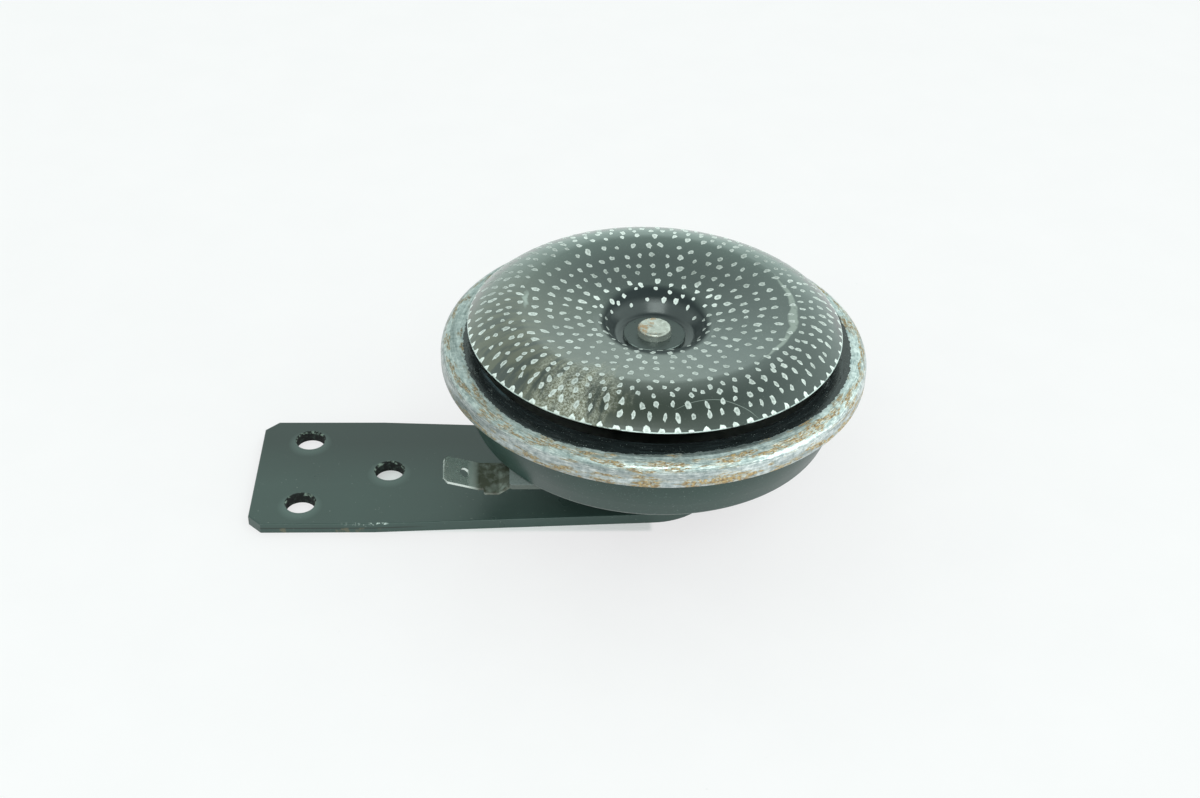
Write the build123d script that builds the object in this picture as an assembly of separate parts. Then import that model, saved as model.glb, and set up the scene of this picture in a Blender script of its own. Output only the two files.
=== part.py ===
from build123d import *
from math import acos, atan2, cos, degrees, hypot, radians, sin, tan
import os

# An electromagnetic disc horn on a two-leaf strap bracket.
#
# Frame, in millimetres: the origin lies on the horn's axis, at the underside of the strap. +Z runs
# along the axis towards the tone disc, and the strap reaches out along -X to its fixing holes.
# The horn is stacked from the strap upwards, so each height below rests on the one before it.

# ---------------------------------------------------------------- driving dimensions

# strap bracket
leaf_thickness = 1.2
strap_length = 90.0            # horn axis to the free end
strap_head_width = 38.4        # parallel part with the fixing holes
strap_head_length = 28.0
strap_eye_radius = 16.2        # round end, concentric with the horn
strap_corner_chamfer = 3.0
strap_edge_rounding = 0.25
fixing_hole_diameter = 6.6     # clears an M6 bolt
end_hole_inset = 11.1          # pair of holes, from the free end
end_hole_spacing = 23.6
centre_hole_inset = 30.4

# magnet core and the nut that holds it
tenon_diameter = 10.0
tenon_across_flats = 8.0       # the flats stop the strap from turning
peen_diameter = 12.0
peen_depth = 0.9
shank_diameter = 12.0
core_nut_across_flats = 19.0
core_nut_height = 6.0
core_share = 0.75              # core diameter, as a share of the pot's radius
core_length = 6.7              # inside the pot
core_chamfer = 0.5

# rim ring, the widest part: the radii of the horn follow from it
rim_radius = 46.9
rim_wall = 1.0
rim_lip_width = 7.3            # from the rim to the inner edge of the lip
rim_shoulder_rounding = 2.8
rim_fold_width = 2.5           # folded under the flange
rim_fold_rounding = 1.5

# housing, one pressing: flange, side, floor and pot
housing_wall = 1.0
bend_inside = 0.4              # inside radius of a tight sheet-metal bend
pot_draft = 1.2                # the pot is this much narrower at its bottom
pot_corner_inside = 1.0
pot_mouth_rounding = 1.5
pot_depth = 12.9
pot_ledge = 17.6               # width of the floor, between the side and the pot
side_height = 13.2
side_top_setback = 3.5         # from the rim to the top of the side
side_taper = 3.4               # the floor's edge is this much further in
side_waist_height = 7.0        # where the side turns inwards, above the floor
side_waist_setback = 0.9
side_rounding = 30.0
flange_bend = 0.6

# what the rim ring clamps
flange_gap = 0.6               # between the flange and the ring's side
gasket_thickness = 1.45
gasket_setback = 0.1
upper_gasket_setback = 3.6     # outer edge, from the rim
lower_gasket_setback = 2.2
diaphragm_setback = 3.1

# diaphragm
diaphragm_thickness = 0.4
diaphragm_sink = 1.75          # its centre lies this much below its clamped edge
diaphragm_flat_radius = 10.5
diaphragm_edge_setback = 2.1   # from the lip to where the skin leaves the gasket
diaphragm_bead_setback = 13.5  # from there to the inner foot of the bead
diaphragm_bead_width = 7.0
diaphragm_bead_slope = 2.0
diaphragm_bead_height = 0.7
diaphragm_bead_level = 0.9
diaphragm_rounding = 1.2

# tone disc
disc_setback = 5.9             # from the rim to the disc's edge
disc_gauge = 0.9
disc_edge_rise = 3.5           # above the rim
disc_crown_height = 4.8        # above the edge
disc_skirt_width = 11.3        # from the edge to the middle of the crown
disc_crown_rounding = 5.0
disc_edge_angle = 45.0
disc_shoulder_rounding = 14.0
disc_hub_depth = 3.5           # below the edge
disc_hub_radius = 8.6
disc_hub_rounding = 1.5
disc_mouth_radius = 11.7
disc_mouth_height = 0.9
disc_mouth_rounding = 5.0

# stud, washers and armature
stud_diameter = 6.0
stud_head_diameter = 7.5
stud_head_height = 1.9
stud_head_rounding = 0.8
stud_engagement = 9.0          # in the armature
head_washer_diameter = 13.8
head_washer_thickness = 0.8
head_washer_chamfer = 0.2
collar_diameter = 13.0
diaphragm_washer_setback = 0.5 # from the armature's edge
diaphragm_washer_thickness = 1.0
armature_step = 1.1            # wider than the core, all round
striker_step = 2.0             # wider than the armature, all round
striker_thickness = 2.4
plunger_clearance = 0.8        # all round, in the pole plate
air_gap = 0.9                  # plunger to core, with the horn at rest
striker_gap = 0.4              # striker to contact arm, with the horn at rest

# coil
bobbin_clearance = 0.1         # all round the core
bobbin_wall = 0.8
bobbin_setback = 3.4           # from the pot's mouth
bobbin_flange = 1.0
winding_setback = 0.8
lead_diameter = 0.9
lead_hole_diameter = 2.2
lead_bend = 1.2

# pole plate
pole_plate_thickness = 1.5
pole_plate_lap = 5.6           # beyond the pot's mouth, on the floor
pole_plate_clearance = 0.4     # wider than the core, all round
pole_rivet_setback = 2.0       # from the plate's edge
pole_rivet_diameter = 3.0
pole_rivet_head = 4.4
pole_rivet_first_angle = 15.0
rivet_head_height = 0.8

# contact breaker, on the housing floor at +Y
contact_width = 10.0
contact_length = 8.0           # of the clamped stack, along Y
contact_setback = 1.2          # from the pole plate to the stack
lower_insulator_thickness = 1.8
arm_thickness = 0.3
arm_width = 7.0
arm_tip_lap = 2.2              # how far the arm reaches under the striker
arm_joggle = 0.4
arm_joggle_reach = 5.2         # from the stack's middle to the joggle
arm_joggle_length = 2.0
arm_ear_reach = 8.8
arm_ear_width = 4.0
contact_reach = 12.2           # from the stack's middle to where the contacts meet
contact_diameter = 4.0
contact_height = 0.9
contact_stem_diameter = 1.6
contact_stem_head = 0.3
fixed_plate_thickness = 1.0
fixed_plate_overhang = 4.0     # beyond the contact
fixed_ear_reach = 12.6
fixed_ear_width = 7.0
upper_insulator_thickness = 0.8
contact_rivet_spacing = 6.0
contact_rivet_diameter = 2.4
contact_rivet_head = 4.0
arm_hole_diameter = 3.6        # keeps the arm clear of the rivets

# adjusting screw
adjuster_x = 9.2
adjuster_setback = 2.2         # from the stack's middle towards the axis
adjuster_diameter = 4.0
adjuster_head_diameter = 6.4
adjuster_head_height = 2.2
adjuster_slot_width = 1.0
adjuster_slot_depth = 1.1
boss_diameter = 6.0
boss_height = 2.6
boss_neck_diameter = 5.0

# terminal, at the side of the housing
terminal_setback = 8.143       # from the floor's edge to the rivet
terminal_angle = 227.8
tab_width = 11.4
tab_thickness = 1.2
tab_outer_reach = 10.4         # reaches along X are from the rivet
tab_inner_reach = 5.8
tab_corner = 0.8
tab_boss_diameter = 5.8
terminal_hole_diameter = 6.0
blade_thickness = 0.8
blade_width = 6.3
blade_wing = 1.15              # the root and neck are this much wider, on the -Y side
blade_wing_rounding = 0.5
blade_root_rounding = 2.4
blade_root_reach = 10.2
blade_neck_reach = 12.7
blade_neck_length = 3.2
blade_bend_reach = 17.0
blade_length = 8.2             # from the bend to the tip
blade_lift_angle = 23.0
blade_roll_angle = 21.0
blade_drop = 0.6               # the rolled neck hangs this much below the root
blade_tip_chamfer = 1.3
blade_hole_diameter = 2.2
blade_hole_inset = 4.6
blade_bend_rounding = 1.2
terminal_washer_diameter = 7.2
terminal_washer_thickness = 0.8
tag_thickness = 0.5
tag_width = 3.4
tag_length = 8.0
terminal_rivet_diameter = 3.0
terminal_rivet_head = 5.2

# fits
assembly_clearance = 0.05      # radial, between a fixed piece and its hole

# ---------------------------------------------------------------- heights of the stack

strap_top = 2 * leaf_thickness
pot_bottom = strap_top + core_nut_height
pot_floor = pot_bottom + housing_wall
core_top = pot_floor + core_length
floor_under = pot_bottom + pot_depth
floor_top = floor_under + housing_wall
pole_plate_top = floor_top + pole_plate_thickness
flange_under = floor_under + side_height
flange_top = flange_under + housing_wall
diaphragm_under = flange_top + gasket_thickness
diaphragm_top = diaphragm_under + diaphragm_thickness
upper_gasket_top = diaphragm_top + gasket_thickness
rim_top = upper_gasket_top + rim_wall
rim_under = flange_under - rim_wall

diaphragm_centre_top = diaphragm_top - diaphragm_sink
diaphragm_centre_under = diaphragm_centre_top - diaphragm_thickness
armature_top = diaphragm_centre_under - diaphragm_washer_thickness
plunger_bottom = core_top + air_gap

disc_edge_height = rim_top + disc_edge_rise
disc_hub_top = disc_edge_height - disc_hub_depth
disc_hub_under = disc_hub_top - disc_gauge
head_washer_top = disc_hub_top + head_washer_thickness

arm_under = floor_top + lower_insulator_thickness
arm_top = arm_under + arm_thickness
raised_arm_under = arm_under + arm_joggle
raised_arm_top = raised_arm_under + arm_thickness
striker_under = raised_arm_top + striker_gap
striker_top = striker_under + striker_thickness
contacts_meet = raised_arm_top + contact_height
fixed_plate_under = contacts_meet + contact_height
fixed_plate_top = fixed_plate_under + fixed_plate_thickness
contact_stack_top = fixed_plate_top + upper_insulator_thickness

tab_under = floor_under - tab_thickness
blade_root_under = tab_under - blade_thickness
tag_under = floor_top + terminal_washer_thickness
tag_top = tag_under + tag_thickness

# ---------------------------------------------------------------- radii and places, from the rim inwards

def polar(radius, angle):
    return radius * cos(radians(angle)), radius * sin(radians(angle))


flange_radius = rim_radius - rim_wall - flange_gap
rim_lip_radius = rim_radius - rim_lip_width
side_top_radius = rim_radius - side_top_setback
floor_radius = side_top_radius - side_taper
pot_radius = floor_radius - pot_ledge
bobbin_radius = pot_radius - bobbin_setback
pole_plate_radius = pot_radius + pole_plate_lap
pole_rivet_circle = pole_plate_radius - pole_rivet_setback

core_radius = pot_radius * core_share / 2
bobbin_bore_radius = core_radius + bobbin_clearance
pole_plate_bore_radius = core_radius + pole_plate_clearance
plunger_radius = pole_plate_bore_radius - plunger_clearance
armature_radius = core_radius + armature_step
striker_radius = armature_radius + striker_step
diaphragm_washer_radius = armature_radius - diaphragm_washer_setback
lead_radius = (striker_radius + bobbin_radius) / 2

diaphragm_edge_radius = rim_lip_radius - diaphragm_edge_setback
diaphragm_bead_inner = diaphragm_edge_radius - diaphragm_bead_setback
disc_radius = rim_radius - disc_setback
disc_crown_radius = disc_radius - disc_skirt_width
stud_bore = stud_diameter / 2 + assembly_clearance

contact_centre = pole_plate_radius + contact_setback + contact_length / 2
contact_point_radius = contact_centre - contact_reach
fixed_plate_tip_radius = contact_point_radius - fixed_plate_overhang
arm_joggle_start = contact_centre - arm_joggle_reach
arm_tip_radius = striker_radius - arm_tip_lap
adjuster_y = contact_centre - adjuster_setback

terminal_rivet_x, terminal_y = polar(floor_radius - terminal_setback, terminal_angle)
tab_end_x = terminal_rivet_x - tab_outer_reach
tab_inner_x = terminal_rivet_x + tab_inner_reach
blade_root_end_x = terminal_rivet_x - blade_root_reach
blade_neck_start_x = terminal_rivet_x - blade_neck_reach
blade_bend_x = terminal_rivet_x - blade_bend_reach


# ---------------------------------------------------------------- shaping helpers

def disc(radius, bottom, top, x=0, y=0):
    """A round bar between two heights."""
    return Pos(x, y, bottom) * Cylinder(
        radius, top - bottom, align=(Align.CENTER, Align.CENTER, Align.MIN)
    )


def block(x_range, y_range, z_range):
    """A block between two corners."""
    size = [high - low for low, high in (x_range, y_range, z_range)]
    corner = (x_range[0], y_range[0], z_range[0])
    return Pos(*corner) * Box(*size, align=(Align.MIN, Align.MIN, Align.MIN))


def turned(*outline):
    """A turned piece: its half section, as (radius, height) points, spun round Z."""
    section = make_face(Polyline(*outline, close=True))
    return revolve(Plane.XZ * section, Axis.Z)


def bent_sheet(outline, bends, wall):
    """Section of a bent sheet.

    The outline runs along one face, with the metal on its right. bends holds the radius of each
    corner along that face. The other face is the same line, moved by the wall: a corner that turns
    left has its metal outside, so its radius grows by the wall, and one that turns right loses it.
    """
    corners = [Vector(*point) for point in outline]
    runs = [(end - start).normalized() for start, end in zip(corners, corners[1:])]
    rights = [Vector(run.Y, -run.X) for run in runs]
    far_corners = [corners[0] + rights[0] * wall]
    far_bends = []
    for corner, before, after, bend in zip(corners[1:], rights, rights[1:], bends):
        mitre = (before + after) * (wall / (1 + before.dot(after)))
        far_corners.append(corner + mitre)
        turns_left = before.cross(after).Z > 0
        far_bends.append(bend + wall if turns_left else bend - wall)
    far_corners.append(corners[-1] + rights[-1] * wall)
    near = FilletPolyline(*corners, radius=bends)
    far = FilletPolyline(*far_corners, radius=far_bends)
    ends = Line(near @ 0, far @ 0).edges() + Line(near @ 1, far @ 1).edges()
    return make_face(near.edges() + far.edges() + ends)


def pressed(outline, bends, wall):
    """A round sheet-metal pressing, its outline as (radius, height) points."""
    return revolve(Plane.XZ * bent_sheet(outline, bends, wall), Axis.Z)


def wire_lead(points):
    """A round wire along straight runs and small bends."""
    path = FilletPolyline(*points, radius=lead_bend)
    start = Plane(origin=path @ 0, z_dir=path % 0)
    return sweep(start * Circle(lead_diameter / 2), path=path)


# ---------------------------------------------------------------- strap bracket

def tangent_point(point, radius):
    """Where a line from the point touches a circle about the origin, on the +Y side."""
    angle = atan2(point[1], point[0]) - acos(radius / hypot(*point))
    return radius * cos(angle), radius * sin(angle)


def strap_outline():
    half_width = strap_head_width / 2
    head_end = (strap_head_length - strap_length, half_width)
    shoulder = (strap_corner_chamfer - strap_length, half_width)
    corner = (-strap_length, half_width - strap_corner_chamfer)
    touch = tangent_point(head_end, strap_eye_radius)
    upper = [touch, head_end, shoulder, corner]
    lower = [(x, -y) for x, y in reversed(upper)]
    sides = Polyline(*upper, *lower)
    eye = ThreePointArc(lower[-1], (strap_eye_radius, 0), touch)
    return make_face(sides.edges() + eye.edges())


def fixing_holes():
    pair_x = end_hole_inset - strap_length
    return [
        (pair_x, end_hole_spacing / 2),
        (pair_x, -end_hole_spacing / 2),
        (centre_hole_inset - strap_length, 0),
    ]


def double_d(clearance):
    """Outline of the tenon: a circle with two flats."""
    flats = tenon_across_flats + 2 * clearance
    round_part = Circle(tenon_diameter / 2 + clearance)
    return round_part & Rectangle(2 * tenon_diameter, flats)


def strap_leaf(bottom, rounded_top):
    leaf = extrude(strap_outline(), leaf_thickness)
    for x, y in fixing_holes():
        leaf -= disc(fixing_hole_diameter / 2, 0, leaf_thickness, x, y)
    if rounded_top:
        leaf = fillet(leaf.edges().group_by(Axis.Z)[-1], strap_edge_rounding)
    leaf -= extrude(double_d(assembly_clearance), leaf_thickness)
    return Pos(0, 0, bottom) * leaf


def peen_cone(clearance):
    return turned(
        (0, 0),
        (peen_diameter / 2 + clearance, 0),
        (tenon_diameter / 2 + clearance, peen_depth),
        (0, peen_depth),
    )


def strap_leaf_lower():
    return strap_leaf(0, False) - peen_cone(assembly_clearance)


def strap_leaf_upper():
    return strap_leaf(leaf_thickness, True)


# ---------------------------------------------------------------- magnet

def pole_core():
    tenon = extrude(double_d(0), strap_top)
    shank = disc(shank_diameter / 2, strap_top, pot_floor)
    core = disc(core_radius, pot_floor, core_top)
    core = chamfer(core.edges().group_by(Axis.Z)[-1], core_chamfer)
    return tenon + peen_cone(0) + shank + core


def core_nut():
    body = extrude(RegularPolygon(core_nut_across_flats / 2, 6, major_radius=False), core_nut_height)
    corner_cut = core_nut_across_flats / 2 * (1 / cos(radians(30)) - 1)
    cone = turned(
        (0, 0),
        (core_nut_across_flats / 2, 0),
        (core_nut_across_flats / 2 + corner_cut, corner_cut / 2),
        (core_nut_across_flats / 2 + corner_cut, core_nut_height - corner_cut / 2),
        (core_nut_across_flats / 2, core_nut_height),
        (0, core_nut_height),
    )
    nut = (body & cone) - disc(shank_diameter / 2 + assembly_clearance, 0, core_nut_height)
    return Pos(0, 0, strap_top) * nut


def coil_bobbin():
    hub = bobbin_bore_radius + bobbin_wall
    bobbin = turned(
        (bobbin_bore_radius, pot_floor),
        (bobbin_radius, pot_floor),
        (bobbin_radius, pot_floor + bobbin_flange),
        (hub, pot_floor + bobbin_flange),
        (hub, floor_top - bobbin_flange),
        (bobbin_radius, floor_top - bobbin_flange),
        (bobbin_radius, floor_top),
        (bobbin_bore_radius, floor_top),
    )
    return bobbin - lead_holes(floor_top - bobbin_flange, floor_top)


def coil_winding():
    outer = bobbin_radius - winding_setback
    bottom = pot_floor + bobbin_flange
    top = floor_top - bobbin_flange
    return disc(outer, bottom, top) - disc(bobbin_bore_radius + bobbin_wall, bottom, top)


def lead_exits():
    """Where the two leads come up out of the coil: the terminal's, then the contact arm's."""
    to_terminal = polar(lead_radius, degrees(atan2(terminal_y, terminal_rivet_x)))
    to_arm = polar(lead_radius, degrees(atan2(contact_centre, -arm_ear_reach - contact_width / 2)))
    return [to_terminal, to_arm]


def lead_holes(bottom, top):
    holes = [disc(lead_hole_diameter / 2, bottom, top, x, y) for x, y in lead_exits()]
    return holes[0] + holes[1]


def pole_rivet_places():
    return [polar(pole_rivet_circle, pole_rivet_first_angle + turn) for turn in (0, 135, 255)]


def pole_plate():
    plate = disc(pole_plate_radius, floor_top, pole_plate_top)
    plate -= disc(pole_plate_bore_radius, floor_top, pole_plate_top)
    for x, y in pole_rivet_places():
        plate -= disc(pole_rivet_diameter / 2 + assembly_clearance, floor_top, pole_plate_top, x, y)
    return plate - lead_holes(floor_top, pole_plate_top)


def rivet(shank_diameter, head_diameter, bottom, top, x, y):
    """A rivet with a head each side of the metal between two heights."""
    shank = disc(shank_diameter / 2, bottom, top, x, y)
    low = disc(head_diameter / 2, bottom - rivet_head_height, bottom, x, y)
    low = fillet(low.edges().group_by(Axis.Z)[0], rivet_head_height / 2)
    high = disc(head_diameter / 2, top, top + rivet_head_height, x, y)
    high = fillet(high.edges().group_by(Axis.Z)[-1], rivet_head_height / 2)
    return low + shank + high


def pole_plate_rivets():
    return Compound(children=[
        rivet(pole_rivet_diameter, pole_rivet_head, floor_under, pole_plate_top, x, y)
        for x, y in pole_rivet_places()
    ])


# ---------------------------------------------------------------- housing and rim

def housing():
    shell = pressed(
        [
            (flange_radius, flange_under),
            (side_top_radius, flange_under),
            (side_top_radius - side_waist_setback, floor_under + side_waist_height),
            (floor_radius, floor_under),
            (pot_radius, floor_under),
            (pot_radius - pot_draft, pot_bottom),
            (shank_diameter / 2 + assembly_clearance, pot_bottom),
        ],
        [flange_bend, side_rounding, bend_inside + housing_wall, pot_mouth_rounding,
         pot_corner_inside + housing_wall],
        housing_wall,
    )
    for x, y in pole_rivet_places():
        shell -= disc(pole_rivet_diameter / 2 + assembly_clearance, floor_under, floor_top, x, y)
    for x, y in contact_rivet_places():
        shell -= disc(contact_rivet_diameter / 2 + assembly_clearance, floor_under, floor_top, x, y)
    shell -= disc(boss_neck_diameter / 2 + assembly_clearance, floor_under, floor_top,
                  adjuster_x, adjuster_y)
    shell -= disc(terminal_hole_diameter / 2, floor_under, floor_top, terminal_rivet_x, terminal_y)
    return shell


def rim_ring():
    return pressed(
        [
            (rim_lip_radius, rim_top),
            (rim_radius, rim_top),
            (rim_radius, rim_under),
            (rim_radius - rim_fold_width, rim_under),
        ],
        [rim_shoulder_rounding, rim_fold_rounding],
        rim_wall,
    )


def gasket_upper():
    outer = rim_radius - upper_gasket_setback
    inner = rim_lip_radius + gasket_setback
    return disc(outer, diaphragm_top, upper_gasket_top) - disc(inner, diaphragm_top, upper_gasket_top)


def gasket_lower():
    outer = rim_radius - lower_gasket_setback
    return disc(outer, flange_top, diaphragm_under) - disc(side_top_radius, flange_top, diaphragm_under)


# ---------------------------------------------------------------- moving parts

def diaphragm():
    bead_foot = diaphragm_centre_top + diaphragm_bead_level
    bead_crest = bead_foot + diaphragm_bead_height
    bead_outer = diaphragm_bead_inner + diaphragm_bead_width
    return pressed(
        [
            (stud_bore, diaphragm_centre_top),
            (diaphragm_flat_radius, diaphragm_centre_top),
            (diaphragm_bead_inner, bead_foot),
            (diaphragm_bead_inner + diaphragm_bead_slope, bead_crest),
            (bead_outer - diaphragm_bead_slope, bead_crest),
            (bead_outer, bead_foot),
            (diaphragm_edge_radius, diaphragm_top),
            (rim_radius - diaphragm_setback, diaphragm_top),
        ],
        [diaphragm_rounding] * 6,
        diaphragm_thickness,
    )


def resonator_disc():
    crown = disc_edge_height + disc_crown_height
    shoulder_radius = disc_radius - disc_crown_height / tan(radians(disc_edge_angle))
    return pressed(
        [
            (stud_bore, disc_hub_top),
            (disc_hub_radius, disc_hub_top),
            (disc_mouth_radius, disc_edge_height + disc_mouth_height),
            (disc_crown_radius, crown),
            (shoulder_radius, crown),
            (disc_radius, disc_edge_height),
        ],
        [disc_hub_rounding, disc_mouth_rounding, disc_crown_rounding, disc_shoulder_rounding],
        disc_gauge,
    )


def head_washer():
    washer = disc(head_washer_diameter / 2, disc_hub_top, head_washer_top)
    washer = chamfer(washer.edges().group_by(Axis.Z)[-1], head_washer_chamfer)
    return washer - disc(stud_bore, disc_hub_top, head_washer_top)


def centre_stud():
    head = disc(stud_head_diameter / 2, head_washer_top, head_washer_top + stud_head_height)
    head = fillet(head.edges().group_by(Axis.Z)[-1], stud_head_rounding)
    return head + disc(stud_diameter / 2, armature_top - stud_engagement, head_washer_top)


def spacer_collar():
    collar = disc(collar_diameter / 2, diaphragm_centre_top, disc_hub_under)
    return collar - disc(stud_bore, diaphragm_centre_top, disc_hub_under)


def diaphragm_washer():
    washer = disc(diaphragm_washer_radius, armature_top, diaphragm_centre_under)
    return washer - disc(stud_bore, armature_top, diaphragm_centre_under)


def armature():
    bore_bottom = armature_top - stud_engagement
    return turned(
        (0, plunger_bottom),
        (plunger_radius, plunger_bottom),
        (plunger_radius, striker_under),
        (striker_radius, striker_under),
        (striker_radius, striker_top),
        (armature_radius, striker_top),
        (armature_radius, armature_top),
        (stud_bore, armature_top),
        (stud_bore, bore_bottom),
        (0, bore_bottom),
    )


# ---------------------------------------------------------------- contact breaker

def contact_rivet_places():
    return [(side * contact_rivet_spacing / 2, contact_centre) for side in (-1, 1)]


def stack_range():
    return contact_centre - contact_length / 2, contact_centre + contact_length / 2


def stack_plate(bottom, top, hole_diameter):
    """A plate of the clamped stack, with its two rivet holes."""
    plate = block((-contact_width / 2, contact_width / 2), stack_range(), (bottom, top))
    for x, y in contact_rivet_places():
        plate -= disc(hole_diameter / 2, bottom, top, x, y)
    return plate


def snug_hole():
    return contact_rivet_diameter + 2 * assembly_clearance


def contact_insulator_lower():
    return stack_plate(floor_top, arm_under, snug_hole())


def contact_insulator_middle():
    return stack_plate(arm_top, fixed_plate_under, snug_hole())


def contact_insulator_upper():
    return stack_plate(fixed_plate_top, contact_stack_top, snug_hole())


def contact_arm():
    joggle_end = arm_joggle_start - arm_joggle_length
    profile = make_face(Polyline(
        (stack_range()[1], arm_under),
        (arm_joggle_start, arm_under),
        (joggle_end, raised_arm_under),
        (arm_tip_radius, raised_arm_under),
        (arm_tip_radius, raised_arm_top),
        (joggle_end, raised_arm_top),
        (arm_joggle_start, arm_top),
        (stack_range()[1], arm_top),
        close=True,
    ))
    arm = extrude(Plane.YZ * profile, arm_width / 2, both=True)
    ear_y = (contact_centre - arm_ear_width / 2, contact_centre + arm_ear_width / 2)
    arm += block((-arm_ear_reach, 0), ear_y, (arm_under, arm_top))
    for x, y in contact_rivet_places():
        arm -= disc(arm_hole_diameter / 2, arm_under, arm_top, x, y)
    stem_hole = contact_stem_diameter / 2 + assembly_clearance
    return arm - disc(stem_hole, raised_arm_under, raised_arm_top, 0, contact_point_radius)


def contact_button(face, back, outside):
    """A contact riveted to its carrier: face meets the other contact, outside is the carrier's back."""
    centre_y = contact_point_radius
    head_end = outside + contact_stem_head * (1 if outside > face else -1)
    button = disc(contact_diameter / 2, min(face, back), max(face, back), 0, centre_y)
    stem = disc(contact_stem_diameter / 2, min(back, outside), max(back, outside), 0, centre_y)
    head = disc(contact_stem_diameter * 0.8, min(outside, head_end), max(outside, head_end),
                0, centre_y)
    return button + stem + head


def moving_contact():
    return contact_button(contacts_meet, raised_arm_top, raised_arm_under)


def fixed_contact():
    return contact_button(contacts_meet, fixed_plate_under, fixed_plate_top)


def fixed_contact_plate():
    levels = (fixed_plate_under, fixed_plate_top)
    half_width = contact_width / 2
    plate = block((-half_width, half_width), (fixed_plate_tip_radius, stack_range()[1]), levels)
    ear_y = (adjuster_y - fixed_ear_width / 2, adjuster_y + fixed_ear_width / 2)
    plate += block((0, fixed_ear_reach), ear_y, levels)
    for x, y in contact_rivet_places():
        plate -= disc(snug_hole() / 2, *levels, x, y)
    stem_hole = contact_stem_diameter / 2 + assembly_clearance
    return plate - disc(stem_hole, *levels, 0, contact_point_radius)


def contact_rivets():
    return Compound(children=[
        rivet(contact_rivet_diameter, contact_rivet_head, floor_under, contact_stack_top, x, y)
        for x, y in contact_rivet_places()
    ])


def adjusting_boss():
    """Threaded bush, its neck swaged into the housing floor."""
    bush = disc(boss_diameter / 2, floor_top, floor_top + boss_height, adjuster_x, adjuster_y)
    bush += disc(boss_neck_diameter / 2, floor_under, floor_top, adjuster_x, adjuster_y)
    bore = adjuster_diameter / 2 + assembly_clearance
    return bush - disc(bore, floor_under, floor_top + boss_height, adjuster_x, adjuster_y)


def adjusting_screw():
    head_bottom = floor_under - adjuster_head_height
    head = disc(adjuster_head_diameter / 2, head_bottom, floor_under, adjuster_x, adjuster_y)
    slot = block(
        (adjuster_x - adjuster_head_diameter, adjuster_x + adjuster_head_diameter),
        (adjuster_y - adjuster_slot_width / 2, adjuster_y + adjuster_slot_width / 2),
        (head_bottom, head_bottom + adjuster_slot_depth),
    )
    shank = disc(adjuster_diameter / 2, floor_under, fixed_plate_under, adjuster_x, adjuster_y)
    return head - slot + shank


# ---------------------------------------------------------------- terminal and leads

def terminal_hole(bottom, top):
    return disc(terminal_rivet_diameter / 2 + assembly_clearance, bottom, top,
                terminal_rivet_x, terminal_y)


def terminal_insulator():
    tab_y = (terminal_y - tab_width / 2, terminal_y + tab_width / 2)
    tab = block((tab_end_x, tab_inner_x), tab_y, (tab_under, floor_under))
    tab = fillet(tab.edges().filter_by(Axis.Z), tab_corner)
    tab += disc(tab_boss_diameter / 2, floor_under, floor_top, terminal_rivet_x, terminal_y)
    return tab - terminal_hole(tab_under, floor_top)


def spade():
    """The neck and blade, unrolled: bent up along -X, then cut to the terminal's outline.

    Its own origin is the middle of the blade's underside at the bend.
    """
    run_in = blade_neck_start_x - blade_bend_x
    lift = radians(blade_lift_angle)
    tip = (-blade_length * cos(lift), blade_length * sin(lift))
    strip = bent_sheet([(run_in, 0), (0, 0), tip], [blade_bend_rounding], blade_thickness)
    half = blade_width / 2
    bent = extrude(Plane.XZ * strip, half + blade_wing, both=True)

    tip_x = tip[0] - blade_thickness * sin(lift)
    blade_plan = Polyline(
        (run_in, half),
        (tip_x + blade_tip_chamfer, half),
        (tip_x, half - blade_tip_chamfer),
        (tip_x, blade_tip_chamfer - half),
        (tip_x + blade_tip_chamfer, -half),
        (run_in, -half),
        close=True,
    )
    neck_plan = Pos(run_in - blade_neck_length / 2, -blade_wing / 2) * Rectangle(
        blade_neck_length, blade_width + blade_wing
    )
    wing_corner = neck_plan.vertices().group_by(Axis.Y)[0].sort_by(Axis.X)[0]
    plan = make_face(blade_plan) + fillet(wing_corner, blade_wing_rounding)
    outline = extrude(plan, blade_length, both=True)

    hole_x = tip[0] + blade_hole_inset * cos(lift)
    hole_z = tip[1] - blade_hole_inset * sin(lift)
    drill = Pos(hole_x, 0, hole_z) * Rot(0, blade_lift_angle, 0) * Cylinder(
        blade_hole_diameter / 2, 4 * blade_thickness
    )
    return (bent & outline) - drill


def neck_section(x, roll, drop):
    """Cross-section of the strip at a place along the neck, its wing on the -Y side."""
    middle = blade_root_under + blade_thickness / 2 - drop
    across = (0, cos(roll), sin(roll))
    plane = Plane(origin=(x, terminal_y, middle), x_dir=across, z_dir=(-1, 0, 0))
    return plane * Pos(-blade_wing / 2, 0) * Rectangle(blade_width + blade_wing, blade_thickness)


def terminal_blade():
    half = blade_width / 2
    root = block((blade_root_end_x, terminal_rivet_x + half),
                 (terminal_y - half - blade_wing, terminal_y + half),
                 (blade_root_under, tab_under))
    root_corners = root.edges().filter_by(Axis.Z).group_by(Axis.X)[-1]
    root = fillet(root_corners, blade_root_rounding)
    roll = radians(blade_roll_angle)
    twist = loft([
        neck_section(blade_root_end_x, 0, 0),
        neck_section(blade_neck_start_x, roll, blade_drop),
    ])
    place = Pos(blade_bend_x, terminal_y, blade_root_under + blade_thickness / 2 - blade_drop)
    rolled = place * Rot(blade_roll_angle, 0, 0) * Pos(0, 0, -blade_thickness / 2) * spade()
    return root + twist + rolled - terminal_hole(blade_root_under, tab_under)


def terminal_washer():
    washer = disc(terminal_washer_diameter / 2, floor_top, tag_under, terminal_rivet_x, terminal_y)
    return washer - terminal_hole(floor_top, tag_under)


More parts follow.
